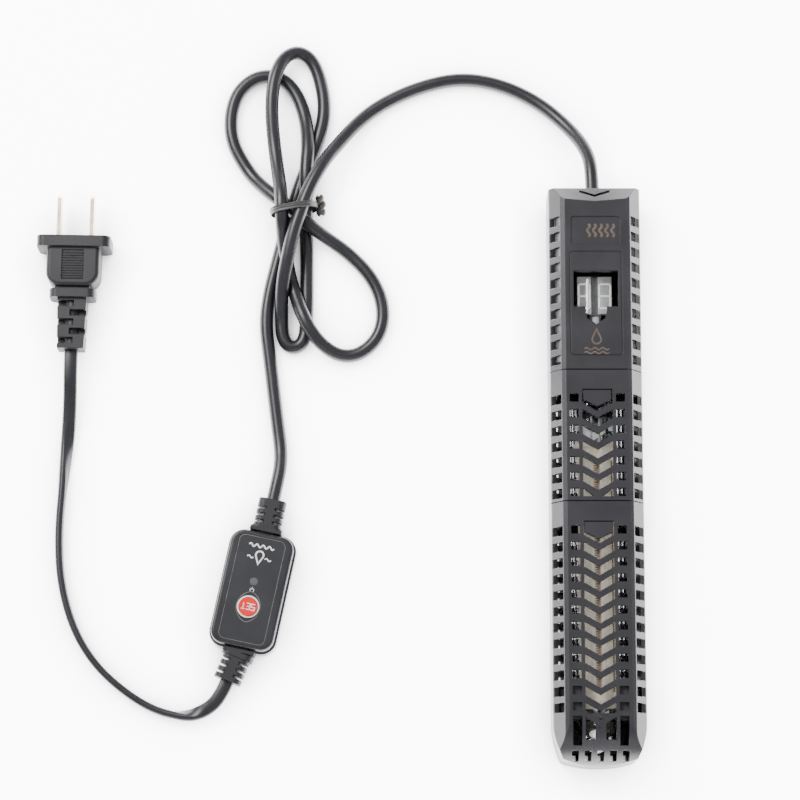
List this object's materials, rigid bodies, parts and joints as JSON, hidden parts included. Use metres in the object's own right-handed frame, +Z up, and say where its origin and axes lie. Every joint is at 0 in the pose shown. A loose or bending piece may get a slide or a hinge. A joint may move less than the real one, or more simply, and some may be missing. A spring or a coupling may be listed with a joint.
{
  "type": "submersible aquarium heater",
  "caption": "Glass tube heater in a slotted snap-together guard, with a tied hank of cord, an inline controller with a red button, and a two-pin plug.",
  "frame": {"origin": "under the middle of the guard, on the surface the heater lies on", "axes": "+Y along the heater towards its cord end, +Z up out of the guard's front, +X across it; the controller, hank and plug lie at -X"},
  "size_m": [0.2321, 0.284, 0.032],
  "materials": {
    "guard": "satin moulded",
    "rubber": "matt",
    "glass": "clear borosilicate",
    "ceramic": "matt fired ceramic",
    "coil_wire": "resistance wire",
    "board": "solder resist",
    "component": "moulded",
    "display": "moulded",
    "sensor": "epoxy bead",
    "copper": "bare wire",
    "housing_base": "glossy moulded",
    "housing": "satin moulded",
    "label": "printed film",
    "screw": "plated",
    "ring": "moulded",
    "button": "moulded",
    "lens": "diffusing",
    "boot": "matt",
    "plug": "moulded vinyl",
    "blade": "bright",
    "cord": "glossy vinyl",
    "tie": "coated wire"
  },
  "bodies": {
    "heater": {"guard_head": "guard", "guard_middle": "guard", "guard_nose": "guard", "tube_cradle": "guard", "tube_stopper": "rubber", "cable_gland": "rubber", "tube_collar_lower": "rubber", "tube_collar_upper": "rubber", "glass_tube": "glass", "ceramic_core": "ceramic", "insulating_disc_lower": "ceramic", "insulating_disc_upper": "ceramic", "heating_coils": "coil_wire", "circuit_board": "board", "controller_board": "board", "triac": "component", "relay": "component", "capacitor": "component", "thermal_fuse": "component", "tact_switch": "component", "display_module": "display", "indicator_led": "display", "temperature_sensor": "sensor", "lead_wires": "copper", "controller_base": "housing_base", "controller_cover": "housing", "controller_label": "label", "controller_screws": "screw", "button_bezel": "ring", "led_lens": "lens", "boot_upper": "boot", "boot_lower": "boot", "plug_body": "plug", "blade_carrier": "plug", "plug_blade_left": "blade", "plug_blade_right": "blade", "cord_heater": "cord", "cord_controller": "cord", "cord_mains": "cord", "cord_hank": "cord", "cord_tie": "tie"},
    "set_button": {"set_button": "button", "switch_plunger": "component"},
    "middle_latch": {"middle_latch": "guard"},
    "nose_latch": {"nose_latch": "guard"}
  },
  "joints": [
    {"name": "set_button_press", "type": "slide", "parent": "heater", "child": "set_button", "axis": [0, 0, -1], "range_m": [0, 0.0006], "stiffness_N_per_m": 1200},
    {"name": "middle_latch_flex", "type": "hinge", "parent": "heater", "child": "middle_latch", "pos_m": [0, 0.0373, 0.02905], "axis": [1, 0, 0], "range_deg": [0, 8], "stiffness_Nm_per_rad": 2},
    {"name": "nose_latch_flex", "type": "hinge", "parent": "heater", "child": "nose_latch", "pos_m": [0, -0.0129, 0.02905], "axis": [1, 0, 0], "range_deg": [0, 8], "stiffness_Nm_per_rad": 2}
  ]
}
